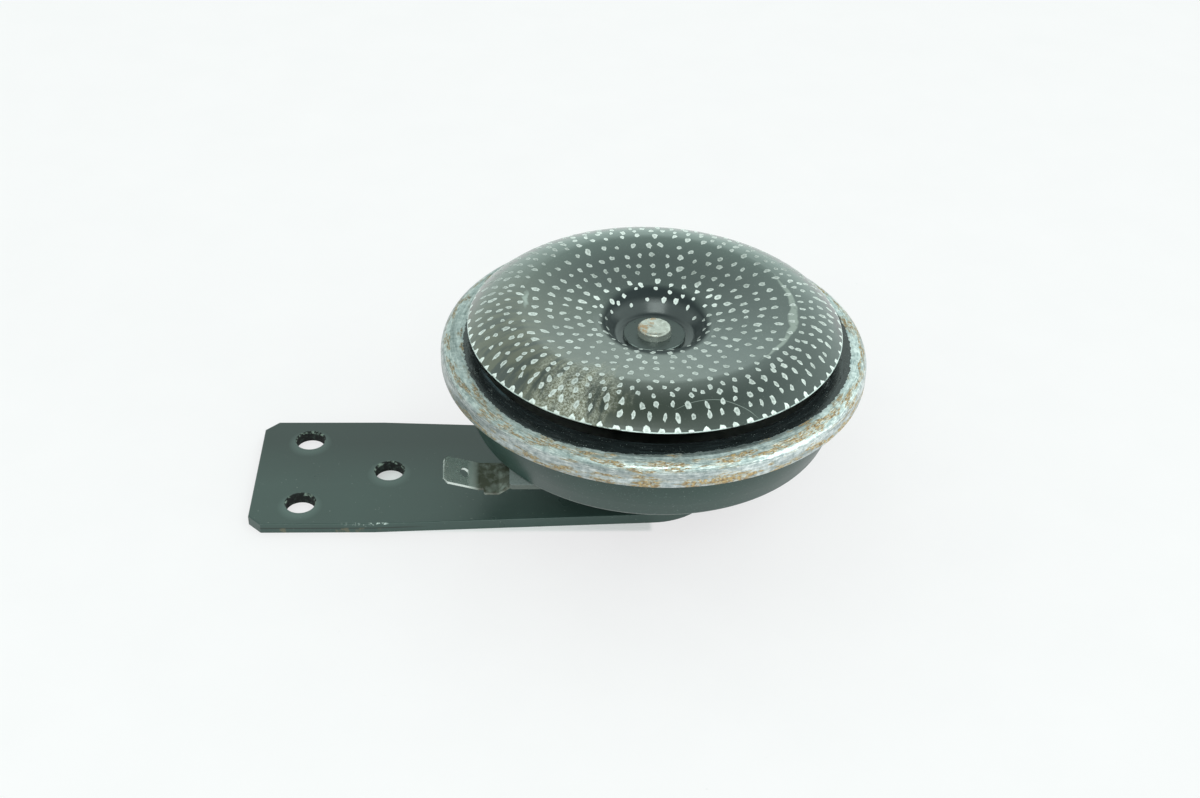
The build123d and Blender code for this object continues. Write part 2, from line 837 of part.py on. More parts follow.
def tag_direction():
    """Unit vector along the tag: square to the radius, so that it clears the pole plate."""
    distance = hypot(terminal_rivet_x, terminal_y)
    return terminal_y / distance, -terminal_rivet_x / distance


def terminal_tag():
    along = tag_direction()
    tag = SlotCenterPoint((0, 0), (tag_length / 2, 0), tag_width)
    placed = Pos(terminal_rivet_x, terminal_y, tag_under) * Rot(0, 0, degrees(atan2(along[1], along[0])))
    return placed * extrude(tag, tag_thickness) - terminal_hole(tag_under, tag_top)


def terminal_rivet():
    return rivet(terminal_rivet_diameter, terminal_rivet_head, blade_root_under, tag_top,
                 terminal_rivet_x, terminal_y)


def coil_lead_terminal():
    exit_x, exit_y = lead_exits()[0]
    along = tag_direction()
    end_x = terminal_rivet_x + along[0] * tag_length / 2
    end_y = terminal_y + along[1] * tag_length / 2
    high = pole_plate_top + 3 * lead_diameter
    return wire_lead([
        (exit_x, exit_y, floor_top - bobbin_flange),
        (exit_x, exit_y, high),
        (end_x, end_y, high),
        (end_x, end_y, tag_top),
    ])


def coil_lead_contact():
    exit_x, exit_y = lead_exits()[1]
    end_x = -arm_ear_reach + lead_diameter
    high = arm_top + 3 * lead_diameter
    return wire_lead([
        (exit_x, exit_y, floor_top - bobbin_flange),
        (exit_x, exit_y, high),
        (end_x, contact_centre, high),
        (end_x, contact_centre, arm_top),
    ])


# ---------------------------------------------------------------- export

pieces = [
    strap_leaf_lower, strap_leaf_upper,
    pole_core, core_nut, coil_bobbin, coil_winding, pole_plate, pole_plate_rivets,
    housing, rim_ring, gasket_lower, gasket_upper,
    diaphragm, diaphragm_washer, spacer_collar, resonator_disc, head_washer, centre_stud, armature,
    contact_insulator_lower, contact_arm, moving_contact, contact_insulator_middle,
    fixed_contact_plate, fixed_contact, contact_insulator_upper, contact_rivets,
    adjusting_boss, adjusting_screw,
    terminal_insulator, terminal_blade, terminal_washer, terminal_tag, terminal_rivet,
    coil_lead_terminal, coil_lead_contact,
]

os.makedirs("parts", exist_ok=True)
for piece in pieces:
    export_step(piece(), f"parts/{piece.__name__}.step")
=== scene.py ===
# %% [markdown]
# # A worn disc horn on its strap
#
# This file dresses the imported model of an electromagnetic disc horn. The model already holds every
# piece at its real size and place, so nothing here moves or resizes one. What is added is what makes
# it look like a used horn: paint worn through in hundreds of spots, zinc that has dulled and rusted,
# dust, and a small studio with a paper floor, soft light and a camera.

# %% Load the model
from math import cos, hypot, pi, radians, sin
from random import Random

import bpy
from mathutils import Matrix, Vector
from mathutils.bvhtree import BVHTree


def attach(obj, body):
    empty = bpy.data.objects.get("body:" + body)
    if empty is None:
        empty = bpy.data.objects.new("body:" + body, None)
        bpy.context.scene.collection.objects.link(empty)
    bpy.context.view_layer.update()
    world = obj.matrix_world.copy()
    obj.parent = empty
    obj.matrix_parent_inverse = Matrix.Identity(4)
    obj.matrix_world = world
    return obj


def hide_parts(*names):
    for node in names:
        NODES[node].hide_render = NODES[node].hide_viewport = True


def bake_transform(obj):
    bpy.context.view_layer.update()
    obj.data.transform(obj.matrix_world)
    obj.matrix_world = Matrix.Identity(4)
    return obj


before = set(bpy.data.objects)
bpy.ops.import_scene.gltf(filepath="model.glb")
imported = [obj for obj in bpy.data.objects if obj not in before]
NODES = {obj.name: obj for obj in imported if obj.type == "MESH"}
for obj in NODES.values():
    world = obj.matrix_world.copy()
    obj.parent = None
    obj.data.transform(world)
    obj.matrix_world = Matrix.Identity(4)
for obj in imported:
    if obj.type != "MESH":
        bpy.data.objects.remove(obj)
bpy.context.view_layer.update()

MM = 0.001                # lengths are written in millimetres and turned to metres by this

# %% [markdown]
# ## A small language for materials
#
# A material is a graph of nodes, which is long to write and hard to read one node at a time. `Value`
# wraps a socket and turns Python's operators into Math nodes, so a mask reads as it works.
# `Finish` is a material that adds every other kind of node through one method.

# %% Values
class Value:
    """A number, colour or vector that changes over a surface, with arithmetic for numbers."""

    def __init__(self, graph, socket):
        self.graph = graph
        self.socket = socket

    def math(self, operation, *terms, clamp=False):
        settings = {"operation": operation, "use_clamp": clamp}
        return self.graph.node("Math", settings, dict(enumerate(terms)))

    def __add__(self, other):
        return self.math("ADD", self, other)

    def __sub__(self, other):
        return self.math("SUBTRACT", self, other)

    def __mul__(self, other):
        return self.math("MULTIPLY", self, other)

    def __truediv__(self, other):
        return self.math("DIVIDE", self, other)

    def __radd__(self, other):
        return self.math("ADD", other, self)

    def __rsub__(self, other):
        return self.math("SUBTRACT", other, self)

    def __rmul__(self, other):
        return self.math("MULTIPLY", other, self)

    def __rtruediv__(self, other):
        return self.math("DIVIDE", other, self)

    def __abs__(self):
        return self.math("ABSOLUTE", self)

    def root(self):
        return self.math("SQRT", self)

    def cosine(self):
        return self.math("COSINE", self)

    def clamped(self):
        """The value, kept between 0 and 1."""
        return self.math("ADD", self, 0.0, clamp=True)

    def above(self, level, blur):
        """0 below the level and 1 above it, with a ramp `blur` wide between."""
        return self.math("ADD", (self - level) / blur, 0.5, clamp=True)

    def below(self, level, blur):
        """1 below the level and 0 above it."""
        return self.math("SUBTRACT", 0.5, (self - level) / blur, clamp=True)

    def between(self, low, high, blur):
        """1 between the levels and 0 outside them."""
        return self.above(low, blur) * self.below(high, blur)

    def either(self, other):
        """The larger of two masks."""
        return self.math("MAXIMUM", self, other)


# %% Graphs
class Graph:
    """A tree of shader nodes, which grows by one method."""

    def __init__(self, tree):
        self.tree = tree

    def node(self, kind, settings=None, sockets=None, output=0):
        """A node of any kind: its settings first, then values or links for its sockets."""
        made = self.tree.nodes.new("ShaderNode" + kind)
        for key, value in (settings or {}).items():
            if key == "stops":
                self.set_stops(made.color_ramp, value)
            else:
                setattr(made, key, value)
        for key, value in (sockets or {}).items():
            self.feed(made.inputs[key], value)
        return Value(self, made.outputs[output])

    def set_stops(self, ramp, stops):
        while len(ramp.elements) < len(stops):
            ramp.elements.new(1)
        for element, (position, colour) in zip(ramp.elements, stops):
            element.position = position
            element.color = colour

    def feed(self, socket, value):
        if isinstance(value, Value):
            self.tree.links.new(value.socket, socket)
        else:
            socket.default_value = value

    def split(self, vector):
        """The three numbers of a vector."""
        return [self.node("SeparateXYZ", {}, {0: vector}, axis) for axis in "XYZ"]

    def mix(self, share, first, second):
        """The first colour where share is 0, the second where it is 1."""
        return self.node("Mix", {"data_type": "RGBA"}, {0: share, 6: first, 7: second}, 2)


# %% Finishes
HORN_RADIUS = 45 * MM     # about where the rim ring is


class Finish(Graph):
    """A material with one Principled shader. It knows its place on the horn, in metres."""

    def __init__(self, name):
        self.material = bpy.data.materials.new(name)
        self.material.use_nodes = True
        super().__init__(self.material.node_tree)
        self.shader = self.tree.nodes["Principled BSDF"]
        self.place = self.node("TexCoord", output="Object")
        self.x, self.y, self.z = self.split(self.place)
        self.radius = (self.x * self.x + self.y * self.y).root()
        self.angle = self.y.math("ARCTAN2", self.y, self.x)

    def set(self, **sockets):
        for key, value in sockets.items():
            self.feed(self.shader.inputs[key.replace("_", " ")], value)

    def cloud(self, size, detail=3.0, roughness=0.5, aside=0.0, vector=None):
        """Soft noise about 0.5, in blotches of a size. Another `aside` gives other blotches."""
        scale = 1 / size
        if vector is None:
            vector = self.place
        if aside:
            vector = self.node("VectorMath", {"operation": "ADD"},
                               {0: vector, 1: (aside, -2 * aside, 3 * aside)})
        return self.node("TexNoise", {}, {"Vector": vector, "Scale": scale,
                                          "Detail": detail, "Roughness": roughness})

    def streaks(self, along, across, detail=3.0, aside=0.0):
        """Noise drawn out round the horn's axis: `along` the ring and `across` it, in metres."""
        turn = HORN_RADIUS / along
        vector = self.node("CombineXYZ", {}, {
            0: self.x / self.radius * turn,
            1: self.y / self.radius * turn,
            2: (self.radius - self.z) / across,
        })
        return self.cloud(1, detail, 0.55, aside, vector)

    def bump(self, height, depth):
        """Raises the surface by up to `depth` metres where the height is 1."""
        self.set(Normal=self.node("Bump", {}, {"Distance": depth, "Height": height}))


# %% Colours, and putting a finish on
def tone(red, green, blue):
    """A colour as a screen shows it, from 0 to 255, as the light that Blender works in."""
    return tuple(((c / 255 + 0.055) / 1.055) ** 2.4 for c in (red, green, blue)) + (1.0,)


def give(finish, *names):
    """Puts a finish on CAD nodes."""
    for name in names:
        NODES[name].material_slots[0].material = finish.material
    print(finish.material.name, "is on", ", ".join(names))


# %% [markdown]
# ## Dark satin paint
#
# The strap and the housing were dipped in a dark grey-green satin paint. It is a thin, slightly
# uneven coat: its gloss changes in clouds, its skin has a fine orange peel, and dust lies on it.
# Its wear is where things touch it, so that is drawn by place: the strap's front edge and the bend
# under the housing. A highlight is painted round the strap's holes, and shade in them and at its
# back.

# %% The paint that the strap and the housing share
def satin_paint(name, colour, rough):
    """Returns the finish with its base colour and gloss, for wear to be added."""
    paint = Finish(name)
    drift = paint.cloud(14 * MM, 3)
    dust = paint.cloud(0.55 * MM, 2, aside=0.3).above(0.74, 0.03)
    shade = paint.mix(drift, tone(*[c * 0.88 for c in colour]), tone(*[c * 1.10 for c in colour]))
    paint.shade = paint.mix(dust * 0.5, shade, tone(150, 155, 150))
    paint.rough = rough + (drift - 0.5) * 0.22 + dust * 0.3
    paint.peel = paint.cloud(0.7 * MM, 2, aside=0.1)
    return paint


# %% Where the strap is chipped and rusted, and where light and shade are painted on it
STRAP_FRONT = -18.75 * MM           # just inside its front side, along y
STRAP_END = -89.6 * MM              # just inside its free end, along x
HOLES = [(-78.9, 11.8), (-78.9, -11.8), (-59.6, 0.0)]
WALL_RADIUS = 3.55 * MM             # just outside a hole's wall
LIP_HIGHLIGHT_RADIUS = 4.3 * MM              # how far the painted highlight on a hole's rolled lip reaches

strap_paint = satin_paint("strap_paint", (54, 70, 66), 0.31)
strap_front = strap_paint.y.below(STRAP_FRONT, 0.3 * MM).either(
    strap_paint.x.below(STRAP_END, 0.2 * MM))
top_edge = strap_paint.z.above(2.0 * MM, 0.2 * MM)
leaf_seam = strap_paint.z.between(1.1 * MM, 1.35 * MM, 0.15 * MM) * strap_front

chips = strap_paint.cloud(0.7 * MM, 4, 0.7, aside=0.7).above(0.55, 0.05)
chip_runs = strap_paint.cloud(7 * MM, 2, aside=0.2).above(0.50, 0.08)
chip_runs = chip_runs * strap_paint.x.above(-68 * MM, 4 * MM)
chipped = strap_front * top_edge * chips * chip_runs

rust_spots = strap_paint.cloud(3 * MM, 4, 0.65, aside=0.9).above(0.60, 0.08)
low_front = strap_paint.z.below(1.3 * MM, 0.3 * MM) * strap_front
low_front = low_front * strap_paint.x.below(-62 * MM, 8 * MM)

# painted highlight round each hole's rolled lip, wider at the front, and painted shade on its wall
lip_highlight = 0.0
hole_shade_mask = 0.0
for hole_x, hole_y in HOLES:
    away_x = strap_paint.x - hole_x * MM
    away_y = strap_paint.y - hole_y * MM
    away = (away_x * away_x + away_y * away_y).root()
    lip_highlight = away.below(LIP_HIGHLIGHT_RADIUS - away_y * 0.2, 1.5 * MM) + lip_highlight
    away_y = away_y - 0.35 * MM     # the lip is rounder at the back, so the painted shade reaches further over it there
    away = (away_x * away_x + away_y * away_y).root()
    hole_shade_mask = away.below(WALL_RADIUS, 0.2 * MM) + hole_shade_mask
print("rings of wear round", len(HOLES), "holes")

# %% Paint for the strap
# painted shade: the strap darker towards its back, under the horn
back_shade = strap_paint.y.above(3 * MM, 16 * MM)
strap_colour = strap_paint.mix(back_shade * 0.75, strap_paint.shade, tone(30, 40, 38))
strap_colour = strap_paint.mix(lip_highlight * 0.28, strap_colour, tone(110, 128, 123))
# painted shade on the hole walls, with painted glints near their top
wall_glints = strap_paint.cloud(1.1 * MM, 4, 0.6, aside=1.2).above(0.56, 0.12)
wall_shade_and_glints = strap_paint.mix(wall_glints * 0.4, tone(8, 12, 12), tone(70, 80, 74))
wall_shade_and_glints = strap_paint.mix(wall_glints * top_edge * 0.9, wall_shade_and_glints, tone(134, 146, 136))
strap_colour = strap_paint.mix(hole_shade_mask, strap_colour, wall_shade_and_glints)
strap_colour = strap_paint.mix(leaf_seam * 0.8, strap_colour, tone(20, 26, 24))
strap_colour = strap_paint.mix(chipped, strap_colour, tone(206, 214, 210))
strap_colour = strap_paint.mix(rust_spots * low_front * 0.6, strap_colour, tone(104, 94, 74))
strap_paint.set(Base_Color=strap_colour, Roughness=strap_paint.rough + hole_shade_mask * 0.6,
                Metallic=chipped * 0.5)
strap_paint.bump(strap_paint.peel, 0.004 * MM)
give(strap_paint, "strap_leaf_lower", "strap_leaf_upper")

# %% Paint for the housing
BEND_HEIGHT = 21.6 * MM             # where the housing's side turns under

housing_paint = satin_paint("housing_paint", (35, 56, 51), 0.36)
bend = abs(housing_paint.z - BEND_HEIGHT).below(0.18 * MM, 0.12 * MM)
bend_wear = bend * housing_paint.radius.above(39 * MM, 0.5 * MM)
bend_wear = bend_wear * housing_paint.cloud(2.5 * MM, 4, aside=0.4).above(0.44, 0.2)
grain = housing_paint.cloud(0.35 * MM, 2, aside=0.6)
housing_colour = housing_paint.mix(grain.above(0.68, 0.06) * 0.35, housing_paint.shade,
                                   tone(120, 130, 128))
housing_colour = housing_paint.mix(bend_wear * 0.6, housing_colour, tone(140, 150, 146))
housing_paint.set(Base_Color=housing_colour, Roughness=housing_paint.rough)
housing_paint.bump(grain, 0.01 * MM)
give(housing_paint, "housing")

# %% [markdown]
# ## The disc's paint
#
# The tone disc has the same dark paint with a little more gloss, and deep in its bowl it is darker.
# It shows more use than any other piece: a brown, dusty scuff where the horn was held, olive smears
# down its left side, a bright crescent rubbed on its crown, an old crease opposite it, one long hair
# scratch, and an edge worn to the metal all the way round. A sheen is painted on its far skirt, and
# shade on its far dish and near skirt.

# %% Base coat of the tone disc
CROWN_RADIUS = 29.9 * MM            # where the disc is highest
BOWL_REACH = (11.8 * MM, 14.2 * MM)  # how far the bowl is darker, along x and y

disc_paint = Finish("disc_paint")
drift = disc_paint.cloud(18 * MM, 3)
film = disc_paint.cloud(3 * MM, 5, 0.65, aside=0.2)
olive_side = (disc_paint.x + disc_paint.y * 0.7).below(-14 * MM, 30 * MM)
disc_colour = disc_paint.mix(olive_side, tone(45, 61, 57), tone(70, 74, 62))
disc_colour = disc_paint.mix(drift.above(0.5, 0.3) * 0.5, disc_colour, tone(40, 49, 48))
specks = disc_paint.cloud(0.3 * MM, 2, 0.6, aside=0.7).above(0.68, 0.05)
disc_colour = disc_paint.mix(specks * 0.35, disc_colour, tone(160, 164, 156))
# painted sheen: the far skirt lighter, as where it reflects the bright floor behind
far_skirt_sheen = disc_paint.y.above(20 * MM, 40 * MM) * disc_paint.radius.above(27 * MM, 10 * MM)
disc_colour = disc_paint.mix(far_skirt_sheen * 0.6, disc_colour, tone(124, 138, 132))
# painted shade: the far dish and the near skirt darker, as where they reflect the dark overhead
far_dish_shade = disc_paint.y.above(8 * MM, 10 * MM) * disc_paint.radius.below(27 * MM, 8 * MM)
near_skirt_shade = disc_paint.y.below(-8 * MM, 16 * MM) * disc_paint.radius.above(30 * MM, 6 * MM)
disc_colour = disc_paint.mix(far_dish_shade * 0.45, disc_colour, tone(34, 43, 42))
disc_colour = disc_paint.mix(near_skirt_shade * 0.6, disc_colour, tone(23, 32, 29))
# darker over an oval inside the bowl
bowl_x = disc_paint.x / BOWL_REACH[0]
bowl_y = (disc_paint.y + 0.8 * MM) / BOWL_REACH[1]
dark_bowl = (bowl_x * bowl_x + bowl_y * bowl_y).root().below(1.0, 0.1)
disc_colour = disc_paint.mix(dark_bowl * 0.92, disc_colour, tone(20, 30, 34))
bowl_lip = dark_bowl * disc_paint.radius.above(10.6 * MM, 1.0 * MM)
print("base coat:", len(disc_paint.tree.nodes), "shader nodes")

# %% Scuff and smears
scuff_x = (disc_paint.x + 19 * MM) / (10 * MM)
scuff_y = (disc_paint.y + 30 * MM) / (10 * MM)
scuff_zone = 1 - (scuff_x * scuff_x + scuff_y * scuff_y).root()
smears = disc_paint.streaks(2.5 * MM, 9 * MM, 5, aside=9)
scuff = (scuff_zone + (smears - 0.5) * 2.4).above(0.42, 0.8)
left_skirt = disc_paint.x.below(-12 * MM, 12 * MM) * disc_paint.radius.above(28 * MM, 7 * MM)
olive = left_skirt * disc_paint.y.below(2 * MM, 20 * MM) * smears.above(0.48, 0.16)
disc_colour = disc_paint.mix(olive * 0.4, disc_colour, tone(118, 114, 88))
scuff_specks = disc_paint.cloud(0.5 * MM, 5, 0.8, aside=0.5).above(0.51, 0.10) * scuff
disc_colour = disc_paint.mix(scuff * 0.42, disc_colour, tone(124, 116, 94))
disc_colour = disc_paint.mix(scuff_specks * 0.6, disc_colour, tone(214, 212, 204))
print("with the scuff:", len(disc_paint.tree.nodes), "shader nodes")

# %% Crescent, crease, worn edge and hair scratch
wander = (disc_paint.cloud(5 * MM, 2) - 0.5) * 2 * MM
crown_line = abs(disc_paint.radius - CROWN_RADIUS + wander)
from_middle = disc_paint.angle + 0.18
fade = from_middle * from_middle
crescent = (crown_line / MM + fade * 2.2).below(0.8, 0.4)
crescent = crescent * disc_paint.x.above(0, 1 * MM) * film.above(0.36, 0.2)
disc_colour = disc_paint.mix(crescent * 0.65, disc_colour, tone(158, 164, 156))

crease_x = disc_paint.x + 28.3 * MM + (film - 0.5) * 3 * MM
crease_y = (disc_paint.y - 2.4 * MM) / 6
crease = (crease_x * crease_x + crease_y * crease_y).root().below(0.45 * MM, 0.5 * MM)
disc_colour = disc_paint.mix(crease * 0.7, disc_colour, tone(166, 174, 168))

edge_worn = disc_paint.radius.above(40.85 * MM, 0.12 * MM) * film.above(0.44, 0.12)
disc_colour = disc_paint.mix(edge_worn, disc_colour, tone(200, 208, 206))

bow = (disc_paint.x - 11 * MM) / (8.6 * MM)
arch = 2 * MM * (1 - bow * bow)
hair = abs(disc_paint.y + 36.6 * MM - arch + (drift - 0.5) * 2 * MM)
hair = hair.below(0.045 * MM, 0.06 * MM) * disc_paint.x.between(2 * MM, 18 * MM, 2 * MM)
disc_colour = disc_paint.mix(hair * 0.55, disc_colour, tone(180, 186, 180))

disc_rough = 0.34 + (film - 0.5) * 0.25 + scuff * 0.25 + bowl_lip * 0.4
disc_paint.set(Base_Color=disc_colour, Roughness=disc_rough, Metallic=edge_worn * 0.6,
               Coat_Weight=0.8 - scuff * 0.6 - bowl_lip * 0.7, Coat_Roughness=0.22)
disc_paint.bump(film, 0.006 * MM)
give(disc_paint, "resonator_disc")

# %% [markdown]
# ## Zinc, rust and black on the rim
#
# The rolled ring is zinc plated and was wiped round, so its marks run along the ring. Noise drawn
# out round the horn's axis gives them. Rust follows the same marks where the zinc has gone. Inside
# a ragged line the ring's lip was brushed with gloss black.

# %% Zinc of the rim ring
rim_zinc = Finish("rim_zinc")
down_rim = (rim_zinc.radius - rim_zinc.z) / MM      # 4 at the lip, 7 on the shoulder, 12 below
facing = rim_zinc.y / rim_zinc.radius * -0.5 + 0.5   # 1 at the front of the horn, 0 at the back
wiped = rim_zinc.streaks(4 * MM, 0.30 * MM, 5)
mottle = rim_zinc.cloud(1.1 * MM, 4, 0.6, aside=1)
broad = rim_zinc.streaks(18 * MM, 1.6 * MM, 3, aside=4)
zinc_tint = (wiped * 0.45 + mottle * 0.55).above(0.5, 0.26)
zinc_colour = rim_zinc.mix(zinc_tint, tone(138, 151, 153), tone(229, 234, 234))
zinc_colour = rim_zinc.mix(broad.above(0.54, 0.16) * 0.5, zinc_colour, tone(104, 112, 112))
print("zinc:", len(rim_zinc.tree.nodes), "shader nodes")

# %% Rust and stains on it, with a painted sparkle and shade
on_shoulder = down_rim.between(5.2, 7.4, 1.4)
on_edge = down_rim.above(10.9, 1.2)
patchy = rim_zinc.streaks(6 * MM, 1.4 * MM, 4, aside=13)
rust_zone = patchy + on_shoulder * facing * 0.16 + on_edge * facing * 0.16
flakes = rim_zinc.streaks(0.9 * MM, 0.36 * MM, 5, aside=8)
rust = rust_zone.above(0.61, 0.06) * flakes.above(0.46, 0.08)
rust_tone = rim_zinc.mix(rim_zinc.cloud(0.5 * MM, 3).above(0.5, 0.3), tone(108, 76, 40),
                         tone(188, 150, 96))
stain = rust_zone.above(0.60, 0.12) * 0.3
zinc_colour = rim_zinc.mix(stain, zinc_colour, tone(172, 160, 128))
zinc_colour = rim_zinc.mix(rust * 0.9, zinc_colour, rust_tone)
# painted highlight: white sparkle across the shoulder
sparkle_highlight = rim_zinc.streaks(1.6 * MM, 0.25 * MM, 4, aside=24).above(0.58, 0.05)
sparkle_highlight = sparkle_highlight * down_rim.between(4.5, 10.5, 2.0)
zinc_colour = rim_zinc.mix(sparkle_highlight * 0.6, zinc_colour, tone(250, 250, 248))
# painted shade: the rim darker towards the left
left_shade = rim_zinc.x.below(-14 * MM, 40 * MM)
zinc_colour = rim_zinc.mix(left_shade * 0.35, zinc_colour, tone(92, 98, 92))
zinc_rough = 0.34 + (wiped - 0.5) * 0.3 + rust * 0.3
print("with rust:", len(rim_zinc.tree.nodes), "shader nodes")

# %% Black on its lip
BORDER_RADIUS = 42.85               # where the black ends, in mm, about which its edge wanders
BORDER_WAVES = [                    # waves in a turn, swing in mm, phase in degrees
    (1, 1.0, -52),
    (2, 0.88, 88),
    (4, 0.52, -143),
]
border = (rim_zinc.streaks(1.2 * MM, 9 * MM, 5, aside=16) - 0.5) * 1.4 + BORDER_RADIUS
for waves, swing, phase in BORDER_WAVES:
    border = border + (rim_zinc.angle * waves - radians(phase)).cosine() * swing
black = (border - rim_zinc.radius / MM).above(0, 0.08)
dust = rim_zinc.cloud(0.4 * MM, 3, 0.6, aside=2).above(0.68, 0.04)
# lighter streaks round the black: brush marks, with a painted sheen
streaks_and_sheen = rim_zinc.streaks(6 * MM, 0.5 * MM, 4, aside=20)
black_colour = rim_zinc.mix(streaks_and_sheen.above(0.5, 0.4), tone(22, 25, 26), tone(44, 50, 52))
black_colour = rim_zinc.mix(dust * 0.6, black_colour, tone(140, 146, 144))
# a lighter bluish patch in the black under the disc's left edge
bluish_patch = rim_zinc.angle.between(-2.78, -2.52, 0.08) * rim_zinc.radius.between(38 * MM, 40 * MM, MM)
black_colour = rim_zinc.mix(bluish_patch * streaks_and_sheen, black_colour, tone(118, 138, 146))
rim_zinc.set(
    Base_Color=rim_zinc.mix(black, zinc_colour, black_colour),
    Roughness=black * (0.24 + dust * 0.3) + (1 - black) * zinc_rough,
    Metallic=(1 - black) * (0.8 - rust * 0.75),
)
rim_zinc.bump(wiped * 0.5 + mottle * 0.6 + black + rust, 0.04 * MM)
give(rim_zinc, "rim_ring")

# %% [markdown]
# ## Bare metal: stud, washers, blade and the works inside
#
# Small metal pieces share a few finishes: turned steel, worn steel with rust, tinned brass and
# bronze. Each is a metal with clouds in its tone and gloss, and the two that are out in the weather
# have their own rust or tarnish, drawn where it sits.

# %% Stud head
HEAD_TOP = 41.9 * MM                # where the side of the head meets its flat top

stud_steel = Finish("stud_steel")
dull = stud_steel.cloud(1.3 * MM, 4, 0.6)
spots = stud_steel.cloud(1.6 * MM, 4, 0.7, aside=0.8).above(0.56, 0.10)
spots = spots * stud_steel.z.above(HEAD_TOP, 0.5 * MM) * stud_steel.x.below(0.4 * MM, 1.6 * MM)
# painted highlight: the side of the head lighter
side_highlight = stud_steel.z.below(HEAD_TOP, 0.5 * MM)
stud_colour = stud_steel.mix(dull.above(0.5, 0.4), tone(158, 156, 148), tone(214, 213, 207))
stud_colour = stud_steel.mix(side_highlight * 0.6, stud_colour, tone(238, 240, 232))
stud_colour = stud_steel.mix(spots * 0.75, stud_colour, tone(176, 128, 76))
stud_steel.set(Base_Color=stud_colour, Roughness=0.24 + (dull - 0.5) * 0.3 + spots * 0.3,
               Metallic=0.7 - spots * 0.6)
stud_steel.bump(dull, 0.05 * MM)
give(stud_steel, "centre_stud")

# %% Washer under the head
WASHER_EDGE = 6.76 * MM             # just inside its rim

washer_steel = Finish("washer_steel")
film = washer_steel.cloud(1.8 * MM, 3)
# painted highlight: a broken light ring on the washer's raised edge
rubbed = washer_steel.radius.above(WASHER_EDGE, 0.08 * MM) * film.above(0.5, 0.16)
washer_colour = washer_steel.mix(film, tone(52, 58, 58), tone(78, 86, 84))
washer_steel.set(Base_Color=washer_steel.mix(rubbed, washer_colour, tone(160, 168, 166)),
                 Roughness=0.30 + (film - 0.5) * 0.2, Metallic=0.4 + rubbed * 0.5)
give(washer_steel, "head_washer")

# %% Terminal blade and its board
BLADE_NECK = -39.6 * MM             # where the tarnish starts, along x
BOARD_TOP = 21.25 * MM

tinned = Finish("tinned_blade")
film = tinned.cloud(2.2 * MM, 4, 0.6)
tarnish = tinned.x.above(BLADE_NECK, 2.6 * MM) * film.above(0.10, 0.9)
blade_colour = tinned.mix(film, tone(196, 206, 200), tone(228, 236, 230))
blade_colour = tinned.mix(tarnish, blade_colour, tone(64, 66, 54))
tinned.set(Base_Color=blade_colour, Roughness=0.26 + (film - 0.5) * 0.2 + tarnish * 0.2,
           Metallic=0.85 - tarnish * 0.7)
tinned.bump(film, 0.04 * MM)
give(tinned, "terminal_blade")

board = Finish("moulded_board")
speckle = board.cloud(0.4 * MM, 3)
# painted light and shade: the board's top lighter, its side darker
lit_top = board.z.above(BOARD_TOP, 0.06 * MM)
board_colour = board.mix(lit_top, tone(84, 88, 84), tone(140, 146, 145))
board_colour = board.mix(speckle.above(0.55, 0.2) * 0.3, board_colour, tone(56, 60, 58))
board.set(Base_Color=board_colour, Roughness=0.5)
board.bump(speckle, 0.01 * MM)
give(board, "terminal_insulator")

# %% The works inside
def plain_finish(name, dark, light, rough, metallic, size):
    """A finish for a piece inside the horn: two tones in clouds and a fine grain."""
    inside = Finish(name)
    grain = inside.cloud(size, 3)
    inside.set(Base_Color=inside.mix(grain, tone(*dark), tone(*light)),
               Roughness=rough + (grain - 0.5) * 0.2, Metallic=metallic)
    inside.bump(grain, 0.01 * MM)
    return inside


turned_steel = plain_finish("turned_steel", (122, 126, 128), (168, 172, 174), 0.38, 1.0, 0.6 * MM)
give(turned_steel, "pole_core", "core_nut", "pole_plate", "pole_plate_rivets", "armature",
     "spacer_collar", "diaphragm_washer", "contact_rivets", "adjusting_boss", "adjusting_screw",
     "terminal_washer", "terminal_rivet")
bronze = plain_finish("spring_bronze", (150, 116, 76), (186, 150, 104), 0.34, 1.0, 1.2 * MM)
give(bronze, "fixed_contact_plate", "terminal_tag")
contact_metal = plain_finish("contact_metal", (150, 150, 152), (190, 190, 192), 0.3, 1.0, 0.4 * MM)
give(contact_metal, "moving_contact", "fixed_contact")
fibre = plain_finish("gasket_board", (58, 54, 48), (84, 78, 70), 0.85, 0.0, 0.3 * MM)
give(fibre, "gasket_lower", "gasket_upper")
phenolic = plain_finish("phenolic_board", (92, 56, 32), (122, 78, 46), 0.5, 0.0, 0.8 * MM)
give(phenolic, "contact_insulator_lower", "contact_insulator_middle", "contact_insulator_upper")
bobbin = plain_finish("bobbin_plastic", (196, 190, 172), (214, 208, 192), 0.5, 0.0, 2 * MM)
give(bobbin, "coil_bobbin")

# %% Copper winding
WIRE_PITCH = 0.45 * MM
WAVE_SPACING = 0.314                # from band to band of a wave texture whose scale is 1

copper = Finish("copper_winding")
wire = copper.node("TexWave", {"wave_type": "BANDS", "bands_direction": "Z"},
                   {"Vector": copper.place, "Scale": WAVE_SPACING / WIRE_PITCH})
tint = copper.cloud(2 * MM, 2)
copper.set(Base_Color=copper.mix(tint, tone(150, 74, 36), tone(190, 104, 60)),
           Roughness=0.32, Metallic=0.9)
copper.bump(wire, 0.12 * MM)
give(copper, "coil_winding", "coil_lead_terminal", "coil_lead_contact")

# %% [markdown]
# ## The worn spots of the tone disc
#
# The disc was pressed in a die with a stippled face, so it is covered in rings of small raised
# spots. Their tops have lost the paint and stand out light. They are geometry, because they catch
# the light at the disc's silhouette and along its edge. One spot is modelled, then copied to each
# place of the pattern, where its points follow the disc's surface.

